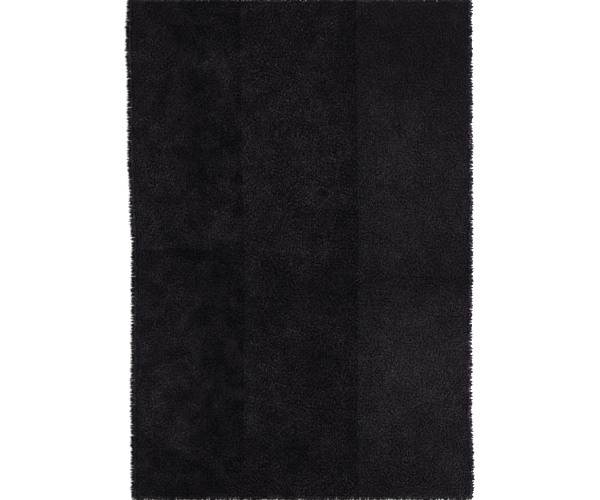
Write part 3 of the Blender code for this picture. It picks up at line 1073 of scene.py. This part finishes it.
def ground_knit():
    """The knit: two crossed waves, multiplied, are its loops in relief, and painted shade where they
    dip.
    """
    material = new_material("knitted_polyester_ground")
    place = add_node(material, "ShaderNodeTexCoord")
    scale = 2 * math.pi / (WAVE_NODE_FACTOR * LOOP_WIDTH)
    waves = [
        add_node(
            material,
            "ShaderNodeTexWave",
            {"Scale": scale, "Distortion": LOOP_WOBBLE, "Detail": LOOP_DETAIL},
            {"Vector": place.outputs["Object"]},
            bands_direction=axis,
        )
        for axis in ("X", "Y")
    ]
    loops = add_node(
        material,
        "ShaderNodeMath",
        links={0: waves[0].outputs["Fac"], 1: waves[1].outputs["Fac"]},
        operation="MULTIPLY",
    )
    # Painted shade: the cloth's colour is darker where its loops dip.
    colour = add_node(
        material,
        "ShaderNodeMix",
        {"A": linear(GROUND_DARK), "B": linear(GROUND_LIGHT)},
        {"Factor": loops.outputs["Value"]},
        data_type="RGBA",
    )
    bump = add_node(
        material,
        "ShaderNodeBump",
        {"Strength": LOOP_STRENGTH, "Distance": LOOP_DEPTH},
        {"Height": loops.outputs["Value"]},
    )
    shader = add_node(
        material,
        "ShaderNodeBsdfPrincipled",
        {"Roughness": GROUND_ROUGHNESS, "IOR": POLYESTER_IOR, "Specular IOR Level": GROUND_SPECULAR},
        {"Base Color": colour.outputs["Result"], "Normal": bump.outputs["Normal"]},
    )
    add_node(material, "ShaderNodeOutputMaterial", links={"Surface": shader.outputs["BSDF"]})
    return material


KNIT = ground_knit()
print(KNIT.name, "has", len(KNIT.node_tree.nodes), "nodes")

# %% [markdown]
# The cloth itself is a sheet 2 mm thick. It lies flat, but the folds lift it a little off the
# floor, so its grid has lines on the crests of the long folds.

# %% The ground cloth
CLOTH_INSET = 0.0085
CLOTH_THICKNESS = 0.0020
CLOTH_PITCH = 0.022
CLOTH_GAP = 0.0002
FOLD_LIFT_SHARE = 0.6
FOLD_LIFT_DEPTH = 0.06


def with_crests(values, axis):
    """The grid's values, with the nearest one moved onto each fold crest that crosses the axis."""
    values = values.copy()
    for fold in FOLDS:
        crest = fold[axis + "_start"]
        if crest == fold[axis + "_end"]:
            values[np.abs(values - crest).argmin()] = crest
    return values


def cloth_bottom(x, y):
    """The lower face, a hair above the floor and lifted by the folds except at the hem."""
    inside = np.clip(inset_of(x, y) / FOLD_LIFT_DEPTH, 0, 1)
    return CLOTH_GAP + FOLD_LIFT_SHARE * fold_height(x, y) * inside


def cloth_top(x, y):
    """The upper face, one thickness above the lower."""
    return cloth_bottom(x, y) + CLOTH_THICKNESS


cloth_x = with_crests(spaced(WIDTH, CLOTH_INSET, CLOTH_PITCH), "x")
cloth_y = with_crests(spaced(LENGTH, CLOTH_INSET, CLOTH_PITCH), "y")
cloth = slab("ground_cloth", cloth_x, cloth_y, cloth_top, cloth_bottom, KNIT)

# %% [markdown]
# The pieces take the solid's place. Its box has its middle over the origin, but the left edge
# wanders further out than the right one, so the straight rug's middle is half the difference to
# the right.

# %% Take the solid's place
pile = [*fields, rim, foot]
shift = Matrix.Translation(((farthest_left - farthest_right) / 2, 0.0, 0.0))
for piece in [*pile, cloth]:
    piece.data.transform(shift)
    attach(piece, "root")
    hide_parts("rug")

# %% [markdown]
# The rug lies on a plain floor, which belongs to the picture and not to the rug. It is matt white
# paint, so that no lamp shows in it, and large enough to have no near edge.

# %% The floor
FLOOR_SIZE = 80.0
FLOOR_WHITE = "#f4f4f4"
FLOOR_ROUGHNESS, FLOOR_SPECULAR = 0.9, 0.1


def studio_floor():
    """One large flat square at the height of the rug's underside."""
    material = new_material("matt_white_floor_paint")
    paint = {"Roughness": FLOOR_ROUGHNESS, "Specular IOR Level": FLOOR_SPECULAR}
    shader = add_node(
        material,
        "ShaderNodeBsdfPrincipled",
        {"Base Color": linear(FLOOR_WHITE), **paint},
    )
    add_node(material, "ShaderNodeOutputMaterial", links={"Surface": shader.outputs["BSDF"]})
    half = FLOOR_SIZE / 2
    points = np.array([(-half, -half, 0), (half, -half, 0), (half, half, 0), (-half, half, 0)])
    return make_piece("floor", points, [np.array([[0, 1, 2, 3]])], material)


studio_floor()
print("the floor is", FLOOR_SIZE, "m wide")

# %% [markdown]
# A soft lamp stands straight above, and a key lamp at the upper right. Patches of pile that lean
# away from the key lamp look bright. With the pale world the lamps light the floor until it is
# plain white, as a studio sweep would be.

# %% The light
OVERHEAD_PLACE = (0.0, 0.0, 7.6)
OVERHEAD_SIZE, OVERHEAD_POWER = 3.5, 190
KEY_PLACE = (9.0, 5.3, 6.5)
KEY_SIZE, KEY_POWER = 4.0, 4300
WORLD_COLOUR, WORLD_STRENGTH = "#ffffff", 1.0


def lamp(name, place, size, power):
    """A round lamp that shines on the middle of the rug."""
    light = bpy.data.lights.new(name, "AREA")
    light.shape = "DISK"
    light.size = size
    light.energy = power
    holder = bpy.data.objects.new(name, light)
    holder.location = place
    holder.rotation_euler = (-Vector(place)).to_track_quat("-Z", "Y").to_euler()
    bpy.context.scene.collection.objects.link(holder)
    return holder


def pale_world():
    """A world of one colour, which fills the shadows from every side."""
    world = bpy.data.worlds.new("studio")
    world.use_nodes = True
    background = world.node_tree.nodes["Background"]
    background.inputs["Color"].default_value = linear(WORLD_COLOUR)
    background.inputs["Strength"].default_value = WORLD_STRENGTH
    return world


lamps = [
    lamp("overhead", OVERHEAD_PLACE, OVERHEAD_SIZE, OVERHEAD_POWER),
    lamp("key", KEY_PLACE, KEY_SIZE, KEY_POWER),
]
scene = bpy.context.scene
scene.world = pale_world()
scene.view_settings.view_transform = "Standard"
scene.view_settings.look = "None"
print(len(lamps), "lamps and a pale world")

# %% [markdown]
# The camera looks straight down through a long lens, with the top of the rug at the top of the
# picture. The picture is 600 by 500 pixels, and a pixel covers 3.9 mm of the rug.

# %% Camera
METRES_PER_PIXEL = 0.003908
PICTURE_WIDTH = 600
CAMERA_PLACE = (-0.0010, -0.0030, 7.0)
SENSOR_WIDTH = 36.0


def overhead_camera():
    """A camera that looks straight down, its lens long enough for the metres in each pixel."""
    view = bpy.data.cameras.new("camera")
    view.sensor_width = SENSOR_WIDTH
    view.lens = SENSOR_WIDTH * CAMERA_PLACE[2] / (PICTURE_WIDTH * METRES_PER_PIXEL)
    camera = bpy.data.objects.new("camera", view)
    camera.location = CAMERA_PLACE
    scene.collection.objects.link(camera)
    return camera


scene.camera = overhead_camera()
print("the lens is", round(scene.camera.data.lens, 1), "mm")

# %% [markdown]
# Last, the scene is brought up to date. The dressed rug has to stay in the solid's box but for
# the little that pile may stand proud.

# %% Finish
bpy.context.view_layer.update()
